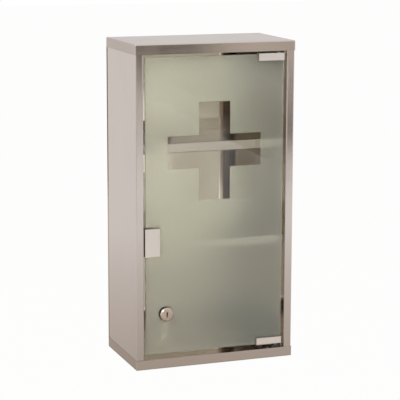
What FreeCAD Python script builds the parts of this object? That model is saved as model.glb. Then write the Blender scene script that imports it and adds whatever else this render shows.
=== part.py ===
import FreeCAD, Part
import math
import os

from FreeCAD import Vector

# Wall-hung medicine cabinet of folded stainless sheet with a frosted glass door, in millimetres.
# +Z is up, the door faces -Y, and the origin is the centre of the back panel's wall face.

# Casing
case_width = 310.0
case_depth = 175.0
case_height = 600.0
sheet = 1.0
bend_radius = 2.0
rim_height = 18.5
flange_width = 16.0
return_depth = 17.0
stile_seam = 3.0

# Wall fixing holes in the back panel
wall_hole_radius = 3.5
wall_hole_from_side = 45.0
wall_hole_from_end = 50.0

# Shelves and the rails that they rest on
shelf_behind_return = 5.0
shelf_back_clearance = 1.5
shelf_side_clearance = 7.0
lower_compartment_height = 232.0
middle_compartment_height = 184.0
lip_height = 18.2
lip_hem = 5.0
rail_bearing = 12.0
rail_leg = 15.0
rail_behind_lip = 2.0

# Door glass
glass_thickness = 5.0
glass_corner_radius = 2.0
glass_edge_chamfer = 0.8
etch_depth = 0.2
door_recess = 5.0
door_side_gap = 4.5
door_top_gap = 5.5
door_bottom_gap = 8.5
cross_span = 181.0
cross_arm = 60.0
cross_above_middle = 101.5

# Hinge clips, their pins and the brackets and bushes that carry them
clip_wall = 1.5
clip_bend_radius = 1.8
clip_width = 50.0
clip_height = 14.0
liner = 0.5
pivot_inset = 10.0
pin_radius = 3.0
pin_running_clearance = 0.05
pin_rivet_clearance = 0.05
pin_shoulder_width = 1.5
pin_shoulder_height = 0.8
pin_lead_in = 0.8
pin_end_clearance = 1.0
bush_wall = 1.5
bush_fit_clearance = 0.05
bush_barrel_past_bracket = 4.0
collar_length = 19.0
collar_width = 12.0
upper_collar_play = 0.7
lower_collar_play = 0.3
bracket_sheet = 2.0
bracket_bend_radius = 3.0
bracket_leg = 15.0
bracket_reach = 30.0
bracket_depth = 13.0

# Grub screws that clamp the clips on the glass
grub_radius = 2.0
grub_clearance = 0.05
grub_stick_out = 0.4
grub_socket_across_flats = 2.0
grub_socket_depth = 1.6
grub_boss_wall = 1.5
grub_boss_height = 2.0
hinge_grub_spacing = 28.0
pull_grub_spacing = 26.0
pull_grub_inset = 5.5

# Pull clip on the free edge of the glass
pull_width = 29.0
pull_height = 52.0
pull_below_middle = 62.0
pull_bend_radius = 2.5

# Magnetic catch behind the pull clip
catch_width = 20.0
catch_height = 54.0
catch_depth = 7.0
catch_corner_radius = 1.5
catch_air_gap = 0.3
catch_side_clearance = 0.5
catch_bracket_sheet = 1.5
catch_bracket_bend_radius = 2.5
catch_bracket_leg = 16.0
catch_bracket_inset = 2.0
magnet_length = 26.0
magnet_width = 6.0
magnet_depth = 4.0
magnet_set_back = 0.8
pole_thickness = 1.5
pole_stick_out = 0.4
pocket_clearance = 0.05
catch_screw_radius = 1.5
catch_screw_clearance = 0.1
catch_screw_head_radius = 2.8
catch_screw_head_height = 1.6
catch_screw_head_recess = 0.4
catch_screw_spacing = 42.0
catch_screw_stick_out = 0.8
catch_screw_slot_width = 0.8
catch_screw_slot_depth = 0.8

# Cam lock in the glass
lock_from_edge = 39.5
lock_from_bottom = 75.0
lock_head_radius = 12.5
lock_head_height = 5.0
lock_head_chamfer = 1.8
lock_barrel_radius = 9.5
lock_hole_clearance = 0.5
lock_barrel_past_nut = 4.0
gasket_thickness = 0.6
gasket_inset = 0.4
washer_thickness = 0.6
washer_width = 3.4
nut_across_flats = 24.0
nut_height = 5.0
nut_thread_clearance = 0.1
plug_radius = 7.0
plug_running_clearance = 0.05
plug_recess = 0.4
keyway_width = 2.2
keyway_height = 9.6
keyway_depth = 14.0
keyway_ward_width = 1.0
keyway_ward_height = 3.2
keyway_ward_above_middle = 1.2
wafer_count = 5
wafer_thickness = 1.2
wafer_pitch = 2.4
wafer_first = 2.6
wafer_width = 7.0
wafer_slot_clearance = 0.05
wafer_key_clearance = 0.3
wafer_end_clearance = 0.4
cam_length = 50.0
cam_width = 15.0
cam_hub_length = 9.0
cam_corner_radius = 3.0
cam_thickness = 2.0
cam_play = 0.2
cam_square = 8.0
cam_square_clearance = 0.05
cam_washer_radius = 6.0
cam_washer_thickness = 1.0
cam_screw_radius = 2.5
cam_screw_clearance = 0.05
cam_screw_length = 6.5
cam_screw_head_radius = 4.6
cam_screw_head_height = 3.0
cam_screw_slot_width = 1.2
cam_screw_slot_depth = 1.4

# How far a cutting shape runs past the faces that it cuts, and how close two points count as one
overrun = 1.0
same_point = 1e-6

# Faces that the pieces share
half_width = case_width / 2
top_z = case_height / 2
front_y = -case_depth
body_half = half_width - sheet
wall_in = body_half - sheet
flange_y = front_y + sheet
back_in_y = -sheet
plate_in_z = top_z - sheet
panel_top_z = top_z - bend_radius
rim_edge_z = top_z - rim_height
opening_half = half_width - flange_width
return_end_y = flange_y + return_depth
stile_half = half_width - stile_seam

shelf_half = opening_half - shelf_side_clearance
shelf_front = return_end_y + shelf_behind_return
shelf_back = back_in_y - shelf_back_clearance
lower_shelf_z = -plate_in_z + lower_compartment_height
upper_shelf_z = lower_shelf_z + middle_compartment_height

glass_half = opening_half - door_side_gap
glass_top = rim_edge_z - door_top_gap
glass_bottom = -rim_edge_z + door_bottom_gap
glass_front = front_y + door_recess
glass_back = glass_front + glass_thickness
etched_back = glass_back - etch_depth
liner_front = glass_front - liner
liner_back = etched_back + liner
clip_front = liner_front - clip_wall
clip_back = liner_back + clip_wall
boss_back = clip_back + grub_boss_height
pivot_x = glass_half - pivot_inset
pivot_y = (clip_front + clip_back) / 2
bush_radius = pin_radius + pin_running_clearance + bush_wall

pull_edge = -(glass_half + liner + clip_wall)
pull_end = pull_edge + pull_width
pull_low = -pull_below_middle - pull_height / 2
pull_high = -pull_below_middle + pull_height / 2

pole_face = clip_back + catch_air_gap
catch_front = pole_face + pole_stick_out
catch_rear = catch_front + catch_depth
catch_left = -opening_half + catch_side_clearance
catch_right = catch_left + catch_width
catch_x = (catch_left + catch_right) / 2
catch_plate_rear = catch_rear + catch_bracket_sheet
catch_screw_z = [-pull_below_middle + side * catch_screw_spacing / 2 for side in (-1, 1)]

lock_x = -glass_half + lock_from_edge
lock_z = glass_bottom + lock_from_bottom
lock_hole_radius = lock_barrel_radius + lock_hole_clearance
head_rear = glass_front - gasket_thickness
lock_face = head_rear - lock_head_height
plug_face = lock_face + plug_recess
nut_front = etched_back + washer_thickness
nut_rear = nut_front + nut_height
barrel_end = nut_rear + lock_barrel_past_nut
cam_front = barrel_end + cam_play
cam_rear = cam_front + cam_thickness
cam_washer_rear = cam_rear + cam_washer_thickness


def at(axis, u, v, w):
    """The point at u and v across an axis, in X, Y, Z order, and at w along it."""
    return {"X": Vector(w, u, v), "Y": Vector(u, w, v), "Z": Vector(u, v, w)}[axis]


def box(x0, x1, y0, y1, z0, z1):
    """A block between two planes on each axis."""
    return Part.makeBox(x1 - x0, y1 - y0, z1 - z0, Vector(x0, y0, z0))


def rod(axis, u, v, low, high, radius, end_radius=None):
    """A cylinder along an axis, or a cone if the end radius differs."""
    if end_radius is None:
        return Part.makeCylinder(radius, high - low, at(axis, u, v, low), at(axis, 0, 0, 1))
    return Part.makeCone(radius, end_radius, high - low, at(axis, u, v, low), at(axis, 0, 0, 1))


def rounded_corner(last, here, after, radius):
    """The begin, middle and end of the arc that rounds a corner."""
    to_last = last.sub(here).normalize()
    to_next = after.sub(here).normalize()
    half_angle = to_last.getAngle(to_next) / 2
    inward = to_last.add(to_next).normalize()
    reach = radius / math.tan(half_angle)
    depth = radius / math.sin(half_angle) - radius
    return here + to_last * reach, here + inward * depth, here + to_next * reach


def prism(corners, axis, low, high):
    """A solid between two planes across an axis, from corners (u, v, radius) in order."""
    points = [Vector(u, v, 0) for u, v, radius in corners]
    arcs = []
    for i, (u, v, radius) in enumerate(corners):
        after = points[(i + 1) % len(points)]
        arcs.append(rounded_corner(points[i - 1], points[i], after, radius))
    edges = []
    for i, (begin, middle, end) in enumerate(arcs):
        start = arcs[i - 1][2]
        if start.distanceToPoint(begin) > same_point:
            line = Part.LineSegment(at(axis, start.x, start.y, low), at(axis, begin.x, begin.y, low))
            edges.append(line.toShape())
        if begin.distanceToPoint(end) > same_point:
            edges.append(Part.Arc(*[at(axis, p.x, p.y, low) for p in (begin, middle, end)]).toShape())
    return Part.Face(Part.Wire(edges)).extrude(at(axis, 0, 0, high - low))


def rectangle(u0, u1, v0, v1, radius):
    """The corners of a rectangle, all with one radius."""
    return [(u0, v0, radius), (u1, v0, radius), (u1, v1, radius), (u0, v1, radius)]


def hexagon(u, v, across_flats):
    """The corners of a hexagon with two flats across v."""
    reach = across_flats / math.sqrt(3)
    turns = [math.radians(60 * i) for i in range(6)]
    return [(u + reach * math.cos(turn), v + reach * math.sin(turn), 0) for turn in turns]


def folded(path, thickness, bend, axis, low, high):
    """A folded sheet from the path of its outer faces (u, v), whose bends all turn the same way."""
    points = [Vector(u, v, 0) for u, v in path]
    runs = [b.sub(a).normalize() for a, b in zip(points, points[1:])]
    side = math.copysign(1, runs[0].cross(runs[1]).z)
    inward = [Vector(-run.y, run.x, 0) * side for run in runs]
    inner = [points[0] + inward[0] * thickness]
    for point, before, after in zip(points[1:], inward, inward[1:]):
        inner.append(point + (before + after) * (thickness / (1 + before.dot(after))))
    inner.append(points[-1] + inward[-1] * thickness)
    bends = range(1, len(points) - 1)
    outer_corners = [(p.x, p.y, bend if i in bends else 0) for i, p in enumerate(points)]
    inner_corners = [(p.x, p.y, bend - thickness if i in bends else 0) for i, p in enumerate(inner)]
    return prism(outer_corners + inner_corners[::-1], axis, low, high)


def mirrored(shape, axis):
    """The shape on the other side of the middle plane across an axis."""
    return shape.mirror(Vector(0, 0, 0), at(axis, 0, 0, 1))


def export(name, *solids):
    """Writes one node; several solids go out as a group."""
    shape = solids[0] if len(solids) == 1 else Part.makeCompound(list(solids))
    shape.exportStep("parts/" + name + ".step")


# Side panels, folded round the front corner
def right_panel():
    path = [(body_half, back_in_y), (body_half, flange_y), (stile_half, flange_y)]
    return folded(path, sheet, bend_radius, "Z", -panel_top_z, panel_top_z)


# Front stiles, welded to the panels' front edges and ground flush
def right_stile():
    path = [(stile_half, flange_y), (opening_half, flange_y), (opening_half, return_end_y)]
    return folded(path, sheet, bend_radius, "Z", -panel_top_z, panel_top_z)


# Caps
def tray(half, front, back, low, high, radius):
    """A block with rounded edges round its top, except at the back."""
    block = box(-half, half, front, back, low, high)
    chosen = []
    for edge in block.Edges:
        limits = edge.BoundBox
        on_top = limits.ZMin > high - same_point and limits.YMin < back - same_point
        front_corner = limits.YMax < front + same_point and limits.ZLength > same_point
        if on_top or front_corner:
            chosen.append(edge)
    return block.makeFillet(radius, chosen)


def top_cap():
    outer = tray(half_width, front_y, back_in_y, rim_edge_z, top_z, bend_radius)
    inner = tray(body_half, flange_y, back_in_y + overrun, rim_edge_z - overrun, plate_in_z, bend_radius - sheet)
    return outer.cut(inner)


# Back panel
def back_panel():
    panel = prism(rectangle(-half_width, half_width, -top_z, top_z, bend_radius), "Y", back_in_y, 0)
    for x_side in (-1, 1):
        for z_side in (-1, 1):
            x = x_side * (half_width - wall_hole_from_side)
            z = z_side * (top_z - wall_hole_from_end)
            panel = panel.cut(rod("Y", x, z, back_in_y - overrun, overrun, wall_hole_radius))
    return panel


# Shelves and rails
def shelf(top):
    lip_low = top - lip_height
    path = [(shelf_back, top), (shelf_front, top), (shelf_front, lip_low), (shelf_front + lip_hem, lip_low)]
    return folded(path, sheet, bend_radius, "X", -shelf_half, shelf_half)


def rails(shelf_top):
    top = shelf_top - sheet
    path = [(wall_in, top - rail_leg), (wall_in, top), (shelf_half - rail_bearing, top)]
    right = folded(path, sheet, bend_radius, "Y", shelf_front + sheet + rail_behind_lip, shelf_back)
    return mirrored(right, "X"), right


# Door glass
def door_glass():
    outline = rectangle(-glass_half, glass_half, glass_bottom, glass_top, glass_corner_radius)
    pane = prism(outline, "Y", glass_front, etched_back)
    flat = [edge for edge in pane.Edges if edge.BoundBox.YLength < same_point]
    pane = pane.makeChamfer(glass_edge_chamfer, flat)
    arm = cross_arm / 2
    reach = cross_span / 2
    cross = [
        (-arm, -reach), (arm, -reach), (arm, -arm), (reach, -arm), (reach, arm), (arm, arm),
        (arm, reach), (-arm, reach), (-arm, arm), (-reach, arm), (-reach, -arm), (-arm, -arm),
    ]
    corners = [(x, cross_above_middle + z, 0) for x, z in cross]
    pane = pane.fuse(prism(corners, "Y", etched_back, glass_back))
    return pane.cut(rod("Y", lock_x, lock_z, glass_front - overrun, glass_back + overrun, lock_hole_radius))


# Grub screws and the bosses that they sit in
def with_bosses(clip, places):
    for x, z in places:
        clip = clip.fuse(rod("Y", x, z, clip_back - clip_wall, boss_back, grub_radius + grub_boss_wall))
    for x, z in places:
        clip = clip.cut(rod("Y", x, z, liner_back, boss_back + overrun, grub_radius + grub_clearance))
    return clip


def grub_screw(x, z):
    end = boss_back + grub_stick_out
    screw = rod("Y", x, z, liner_back, end, grub_radius)
    socket = prism(hexagon(x, z, grub_socket_across_flats), "Y", end - grub_socket_depth, end + overrun)
    return screw.cut(socket)


# Hinge clips, drawn at the top edge; the lower ones are mirrored
def hinge_grub_places(edge):
    z = edge + liner + clip_wall - clip_height / 2
    middle = glass_half - clip_width / 2
    return [(middle + side * hinge_grub_spacing / 2, z) for side in (-1, 1)]


def hinge_clip(edge):
    top = edge + liner + clip_wall
    low = top - clip_height
    path = [(clip_front, low), (clip_front, top), (clip_back, top), (clip_back, low)]
    clip = folded(path, clip_wall, clip_bend_radius, "X", glass_half - clip_width, glass_half)
    clip = clip.cut(rod("Z", pivot_x, pivot_y, top - clip_wall, top + overrun, pin_radius + pin_rivet_clearance))
    return with_bosses(clip, hinge_grub_places(edge))


def hinge_liner(edge):
    top = edge + liner
    low = edge + liner + clip_wall - clip_height
    path = [(liner_front, low), (liner_front, top), (liner_back, top), (liner_back, low)]
    return folded(path, liner, liner, "X", glass_half - clip_width, glass_half)


def hinge_pin(edge):
    foot = edge + liner
    web = foot + clip_wall
    end = rim_edge_z + bracket_sheet + bush_barrel_past_bracket - pin_end_clearance
    pin = rod("Z", pivot_x, pivot_y, foot, end - pin_lead_in, pin_radius)
    pin = pin.fuse(rod("Z", pivot_x, pivot_y, end - pin_lead_in, end, pin_radius, pin_radius - pin_lead_in))
    shoulder_radius = pin_radius + pin_shoulder_width
    return pin.fuse(rod("Z", pivot_x, pivot_y, web, web + pin_shoulder_height, shoulder_radius)).removeSplitter()


# Pivot brackets and bushes, drawn at the top; the lower ones are mirrored
def pivot_bracket():
    path = [
        (opening_half, rim_edge_z + bracket_leg),
        (opening_half, rim_edge_z),
        (opening_half - bracket_reach, rim_edge_z),
    ]
    bracket = folded(path, bracket_sheet, bracket_bend_radius, "Y", flange_y, flange_y + bracket_depth)
    hole_radius = bush_radius + bush_fit_clearance
    hole = rod("Z", pivot_x, pivot_y, rim_edge_z - overrun, rim_edge_z + bracket_sheet + overrun, hole_radius)
    return bracket.cut(hole)


def pivot_bush(edge, play):
    low = edge + liner + clip_wall + pin_shoulder_height + play
    end = rim_edge_z + bracket_sheet + bush_barrel_past_bracket
    half_length = collar_length / 2
    half_depth = collar_width / 2
    x_ends = (pivot_x - half_length, pivot_x + half_length)
    outline = rectangle(*x_ends, pivot_y - half_depth, pivot_y + half_depth, half_depth)
    bush = prism(outline, "Z", low, rim_edge_z).fuse(rod("Z", pivot_x, pivot_y, rim_edge_z, end, bush_radius))
    bore = rod("Z", pivot_x, pivot_y, low - overrun, end + overrun, pin_radius + pin_running_clearance)
    return bush.cut(bore)


# Pull clip
pull_grub_places = [
    (pull_end - pull_grub_inset, -pull_below_middle + side * pull_grub_spacing / 2) for side in (-1, 1)
]


def pull_clip():
    path = [(pull_end, clip_front), (pull_edge, clip_front), (pull_edge, clip_back), (pull_end, clip_back)]
    clip = folded(path, clip_wall, pull_bend_radius, "Z", pull_low, pull_high)
    return with_bosses(clip, pull_grub_places)


def pull_liner():
    edge = pull_edge + clip_wall
    path = [(pull_end, liner_front), (edge, liner_front), (edge, liner_back), (pull_end, liner_back)]
    return folded(path, liner, pull_bend_radius - clip_wall, "Z", pull_low, pull_high)


# Magnetic catch
def catch_bracket():
    leg_x = -opening_half - sheet - catch_bracket_sheet
    path = [
        (leg_x, catch_plate_rear - catch_bracket_leg),
        (leg_x, catch_plate_rear),
        (catch_right - catch_bracket_inset, catch_plate_rear),
    ]
    half = catch_height / 2 - catch_bracket_inset
    ends = (-pull_below_middle - half, -pull_below_middle + half)
    bracket = folded(path, catch_bracket_sheet, catch_bracket_bend_radius, "Z", *ends)
    for z in catch_screw_z:
        hole_radius = catch_screw_radius + catch_screw_clearance
        hole = rod("Y", catch_x, z, catch_rear - overrun, catch_plate_rear + overrun, hole_radius)
        bracket = bracket.cut(hole)
    return bracket


def stack_half_widths():
    inner = magnet_width / 2
    return inner, inner + pole_thickness


def catch_housing():
    half = catch_height / 2
    outline = rectangle(catch_left, catch_right, -pull_below_middle - half, -pull_below_middle + half,
                        catch_corner_radius)
    housing = prism(outline, "Y", catch_front, catch_rear)
    reach = stack_half_widths()[1] + pocket_clearance
    rise = magnet_length / 2 + pocket_clearance
    pocket_end = catch_front + magnet_set_back + magnet_depth
    pocket = box(catch_x - reach, catch_x + reach, catch_front - overrun, pocket_end,
                 -pull_below_middle - rise, -pull_below_middle + rise)
    housing = housing.cut(pocket)
    for z in catch_screw_z:
        hole_radius = catch_screw_radius + catch_screw_clearance
        head_radius = catch_screw_head_radius + catch_screw_clearance
        seat = catch_front + catch_screw_head_recess + catch_screw_head_height
        housing = housing.cut(rod("Y", catch_x, z, catch_front - overrun, catch_rear + overrun, hole_radius))
        housing = housing.cut(rod("Y", catch_x, z, catch_front - overrun, seat, head_radius))
    return housing


def catch_magnet():
    inner = stack_half_widths()[0]
    rise = magnet_length / 2
    front = catch_front + magnet_set_back
    return box(catch_x - inner, catch_x + inner, front, front + magnet_depth,
               -pull_below_middle - rise, -pull_below_middle + rise)


def pole_plate(side):
    inner, outer = stack_half_widths()
    x_ends = sorted((catch_x + side * inner, catch_x + side * outer))
    rise = magnet_length / 2
    rear = catch_front + magnet_set_back + magnet_depth
    return box(*x_ends, pole_face, rear, -pull_below_middle - rise, -pull_below_middle + rise)


def catch_screw(z):
    top = catch_front + catch_screw_head_recess
    seat = top + catch_screw_head_height
    screw = rod("Y", catch_x, z, top, seat, catch_screw_head_radius)
    screw = screw.fuse(rod("Y", catch_x, z, seat, catch_plate_rear + catch_screw_stick_out, catch_screw_radius))
    half_slot = catch_screw_slot_width / 2
    reach = catch_screw_head_radius + overrun
    slot = box(catch_x - reach, catch_x + reach, top - overrun, top + catch_screw_slot_depth,
               z - half_slot, z + half_slot)
    return screw.cut(slot)


# Cam lock: the pieces that stay with the glass
def lock_ring(low, high, outer, inner):
    ring = rod("Y", lock_x, lock_z, low, high, outer)
    return ring.cut(rod("Y", lock_x, lock_z, low - overrun, high + overrun, inner))


def lock_barrel():
    shoulder = lock_face + lock_head_chamfer
    face_radius = lock_head_radius - lock_head_chamfer
    barrel = rod("Y", lock_x, lock_z, lock_face, shoulder, face_radius, lock_head_radius)
    barrel = barrel.fuse(rod("Y", lock_x, lock_z, shoulder, head_rear, lock_head_radius))
    barrel = barrel.fuse(rod("Y", lock_x, lock_z, head_rear, barrel_end, lock_barrel_radius))
    bore_radius = plug_radius + plug_running_clearance
    bore = rod("Y", lock_x, lock_z, lock_face - overrun, barrel_end + overrun, bore_radius)
    return barrel.cut(bore).removeSplitter()


def lock_nut():
    nut = prism(hexagon(lock_x, lock_z, nut_across_flats), "Y", nut_front, nut_rear)
    thread_radius = lock_barrel_radius + nut_thread_clearance
    return nut.cut(rod("Y", lock_x, lock_z, nut_front - overrun, nut_rear + overrun, thread_radius))


# Cam lock: the core that turns
def keyway(front, end, clearance):
    half_width_x = keyway_width / 2 + clearance
    half_height_z = keyway_height / 2 + clearance
    slot = box(lock_x - half_width_x, lock_x + half_width_x, front, end,
               lock_z - half_height_z, lock_z + half_height_z)
    ward_low = lock_z + keyway_ward_above_middle
    ward = box(lock_x, lock_x + half_width_x + keyway_ward_width, front, end,
               ward_low - clearance, ward_low + keyway_ward_height + clearance)
    return slot.fuse(ward)


wafer_fronts = [plug_face + wafer_first + i * wafer_pitch for i in range(wafer_count)]


def wafer_blank(front, width, half_height, grow):
    half = width / 2 + grow
    return box(lock_x - half, lock_x + half, front - grow, front + wafer_thickness + grow,
               lock_z - half_height, lock_z + half_height)


def lock_plug():
    plug = rod("Y", lock_x, lock_z, plug_face, barrel_end, plug_radius)
    half = cam_square / 2
    tail = box(lock_x - half, lock_x + half, barrel_end, cam_rear, lock_z - half, lock_z + half)
    plug = plug.fuse(tail)
    plug = plug.cut(keyway(plug_face - overrun, plug_face + keyway_depth, 0))
    for front in wafer_fronts:
        plug = plug.cut(wafer_blank(front, wafer_width, plug_radius + overrun, wafer_slot_clearance))
    screw_end = cam_washer_rear - cam_screw_length - cam_screw_clearance
    hole_radius = cam_screw_radius + cam_screw_clearance
    return plug.cut(rod("Y", lock_x, lock_z, screw_end, cam_rear + overrun, hole_radius))


def lock_wafer(front):
    half_height = math.sqrt(plug_radius ** 2 - (wafer_width / 2) ** 2) - wafer_end_clearance
    wafer = wafer_blank(front, wafer_width, half_height, 0)
    return wafer.cut(keyway(front - overrun, front + wafer_thickness + overrun, wafer_key_clearance))


def lock_cam():
    half = cam_width / 2
    outline = rectangle(lock_x - half, lock_x + half, lock_z - cam_length, lock_z + cam_hub_length,
                        cam_corner_radius)
    cam = prism(outline, "Y", cam_front, cam_rear)
    half_hole = cam_square / 2 + cam_square_clearance
    return cam.cut(box(lock_x - half_hole, lock_x + half_hole, cam_front - overrun, cam_rear + overrun,
                       lock_z - half_hole, lock_z + half_hole))


def cam_screw():
    head_end = cam_washer_rear + cam_screw_head_height
    screw = rod("Y", lock_x, lock_z, cam_washer_rear - cam_screw_length, cam_washer_rear, cam_screw_radius)
    screw = screw.fuse(rod("Y", lock_x, lock_z, cam_washer_rear, head_end, cam_screw_head_radius))
    half_slot = cam_screw_slot_width / 2
    reach = cam_screw_head_radius + overrun
    slot = box(lock_x - reach, lock_x + reach, head_end - cam_screw_slot_depth, head_end + overrun,
               lock_z - half_slot, lock_z + half_slot)
    return screw.cut(slot)


os.makedirs("parts", exist_ok=True)

export("left_side_panel", mirrored(right_panel(), "X"))
export("right_side_panel", right_panel())
export("left_front_stile", mirrored(right_stile(), "X"))
export("right_front_stile", right_stile())
export("back_panel", back_panel())
export("top_cap", top_cap())
export("bottom_cap", mirrored(top_cap(), "Z"))
export("upper_shelf", shelf(upper_shelf_z))
export("lower_shelf", shelf(lower_shelf_z))
export("upper_shelf_rails", *rails(upper_shelf_z))
export("lower_shelf_rails", *rails(lower_shelf_z))
export("upper_pivot_bracket", pivot_bracket())
export("lower_pivot_bracket", mirrored(pivot_bracket(), "Z"))
export("upper_pivot_bush", pivot_bush(glass_top, upper_collar_play))
export("lower_pivot_bush", mirrored(pivot_bush(-glass_bottom, lower_collar_play), "Z"))
export("catch_bracket", catch_bracket())
export("catch_housing", catch_housing())
export("catch_magnet", catch_magnet())
export("catch_pole_plates", pole_plate(-1), pole_plate(1))
export("catch_screws", *[catch_screw(z) for z in catch_screw_z])

export("door_glass", door_glass())
export("upper_hinge_clip", hinge_clip(glass_top))
export("lower_hinge_clip", mirrored(hinge_clip(-glass_bottom), "Z"))
export("upper_hinge_liner", hinge_liner(glass_top))
export("lower_hinge_liner", mirrored(hinge_liner(-glass_bottom), "Z"))
export("upper_hinge_pin", hinge_pin(glass_top))
export("lower_hinge_pin", mirrored(hinge_pin(-glass_bottom), "Z"))
export(
    "hinge_grub_screws",
    *[grub_screw(x, z) for x, z in hinge_grub_places(glass_top)],
    *[mirrored(grub_screw(x, z), "Z") for x, z in hinge_grub_places(-glass_bottom)],
)
export("pull_clip", pull_clip())
export("pull_clip_liner", pull_liner())
export("pull_clip_grub_screws", *[grub_screw(x, z) for x, z in pull_grub_places])
export("lock_barrel", lock_barrel())
export("lock_gasket", lock_ring(head_rear, glass_front, lock_head_radius - gasket_inset, lock_hole_radius))
export("lock_washer", lock_ring(etched_back, nut_front, lock_hole_radius + washer_width, lock_hole_radius))
export("lock_nut", lock_nut())

export("lock_plug", lock_plug())
export("lock_wafers", *[lock_wafer(front) for front in wafer_fronts])
export("lock_cam", lock_cam())
export("cam_washer", rod("Y", lock_x, lock_z, cam_rear, cam_washer_rear, cam_washer_radius).cut(
    rod("Y", lock_x, lock_z, cam_rear - overrun, cam_washer_rear + overrun, cam_screw_radius + cam_screw_clearance)))
export("cam_screw", cam_screw())
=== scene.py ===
import logging
import math
from dataclasses import dataclass, field, replace
from enum import Enum
from typing import Optional

import bpy
from mathutils import Euler, Matrix, Vector


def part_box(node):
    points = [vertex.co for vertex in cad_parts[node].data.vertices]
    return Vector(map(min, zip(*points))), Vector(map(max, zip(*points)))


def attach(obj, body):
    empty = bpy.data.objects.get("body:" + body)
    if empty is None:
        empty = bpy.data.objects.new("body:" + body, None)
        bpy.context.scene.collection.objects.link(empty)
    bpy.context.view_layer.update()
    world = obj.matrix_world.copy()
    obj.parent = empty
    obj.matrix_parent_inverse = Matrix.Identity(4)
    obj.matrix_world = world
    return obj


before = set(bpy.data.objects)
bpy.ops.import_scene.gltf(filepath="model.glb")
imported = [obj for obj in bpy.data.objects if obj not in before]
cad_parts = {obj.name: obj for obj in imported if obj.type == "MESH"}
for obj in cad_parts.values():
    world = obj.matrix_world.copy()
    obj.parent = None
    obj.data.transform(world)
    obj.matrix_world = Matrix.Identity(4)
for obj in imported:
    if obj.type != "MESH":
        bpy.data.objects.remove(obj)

log = logging.getLogger("medicine_cabinet")

Colour = tuple[float, float, float]
Triple = tuple[float, float, float]
Pair = tuple[float, float]
Socket = bpy.types.NodeSocket

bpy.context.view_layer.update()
"""Lowest and highest corner of the solids, before anything is added."""

WHITE: Colour = (1.0, 1.0, 1.0)
NOISE_SPAN: Pair = (0.3, 0.7)
"""The part of the range from 0 to 1 that the values of a noise texture fill."""


class Grain(Enum):
    """Which way a face was brushed, as the density of the streaks along X, Y and Z in cycles a metre."""

    ALONG_X = (6.0, 1500.0, 1500.0)
    ALONG_Z = (1500.0, 1500.0, 6.0)


def opaque(colour: Colour) -> tuple[float, float, float, float]:
    """Adds full alpha to a colour.

    Args:
        colour: Red, green and blue.

    Returns:
        The colour with an alpha of 1.
    """
    return (*colour, 1.0)


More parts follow.
